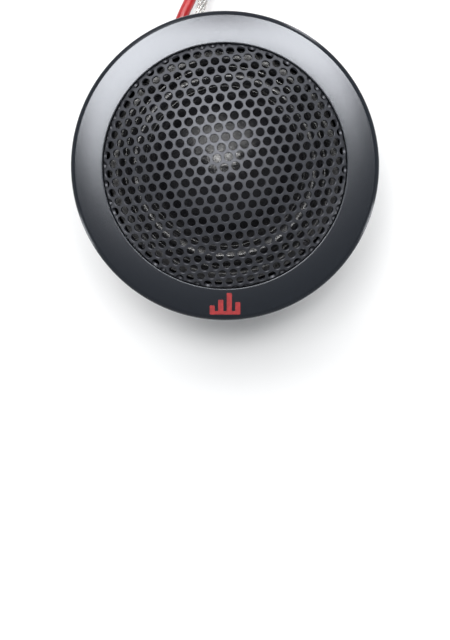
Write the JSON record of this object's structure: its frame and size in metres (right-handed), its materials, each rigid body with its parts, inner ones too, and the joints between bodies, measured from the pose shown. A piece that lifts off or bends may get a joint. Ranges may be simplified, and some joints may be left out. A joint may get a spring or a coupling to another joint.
{
  "type": "car tweeter",
  "caption": "Round soft-dome car tweeter with a flanged housing, a domed perforated grille, a rear chamber and two flying leads.",
  "frame": {"origin": "on the tweeter's axis, at the middle of the rear cup's flat base", "axes": "+Z along the axis towards the listener; the two terminals are on the +Y side, 19 and 36 degrees from +Y towards -X; the face mark is at -Y"},
  "size_m": [0.0563, 0.0919, 0.0353],
  "materials": {
    "housing_anodised": "black anodised, fine matt face, satin turned sides",
    "grille_steel": "black powder coat, semi-matt",
    "badge_red": "red enamel, satin",
    "ring_plastic": "moulded black, glossy",
    "screw_steel": "black zinc",
    "dome_fabric": "coated fabric, tacky sheen",
    "former_aluminium": "bare foil",
    "winding_copper": "enamelled copper wire",
    "motor_steel": "black zinc, turned",
    "magnet_nickel": "nickel plated",
    "damping_felt": "wool felt",
    "damping_foam": "open-cell foam",
    "cup_gloss": "high-gloss black, fine turning lines",
    "bushing_plastic": "moulded",
    "tinned_metal": "tinned and soldered",
    "lead_red_pvc": "soft PVC insulation",
    "lead_clear_pvc": "clear PVC over tinned strands",
    "tie_plastic": "soft band"
  },
  "bodies": {
    "housing": {"front_housing": "housing_anodised", "grille": "grille_steel", "badge_inlay": "badge_red", "clamp_ring": "ring_plastic", "diaphragm_ring": "ring_plastic", "ring_screw_1": "screw_steel", "ring_screw_2": "screw_steel", "ring_screw_3": "screw_steel", "ring_screw_4": "screw_steel", "surround": "dome_fabric", "motor_yoke": "motor_steel", "magnet": "magnet_nickel", "pole_plate": "motor_steel", "pole_felt": "damping_felt", "rear_cup": "cup_gloss", "chamber_foam": "damping_foam", "terminal_bushing_pos": "bushing_plastic", "terminal_bushing_neg": "bushing_plastic", "terminal_pin_pos": "tinned_metal", "terminal_pin_neg": "tinned_metal", "solder_pos": "tinned_metal", "solder_neg": "tinned_metal", "tinsel_lead_pos": "winding_copper", "tinsel_lead_neg": "winding_copper", "lead_red": "lead_red_pvc", "lead_clear": "lead_clear_pvc", "lead_red_tail": "lead_red_pvc", "lead_clear_tail": "lead_clear_pvc", "lead_red_tip": "tinned_metal", "lead_clear_tip": "tinned_metal", "lead_coil": "lead_clear_pvc", "coil_tie": "tie_plastic"},
    "diaphragm": {"dome": "dome_fabric", "coil_former": "former_aluminium", "voice_coil": "winding_copper"}
  },
  "joints": [
    {"name": "diaphragm_travel", "type": "slide", "parent": "housing", "child": "diaphragm", "axis": [0, 0, 1], "range_m": [-0.0005, 0.0005], "stiffness_N_per_m": 500, "deforming": ["surround", "tinsel_lead_pos", "tinsel_lead_neg"]}
  ]
}
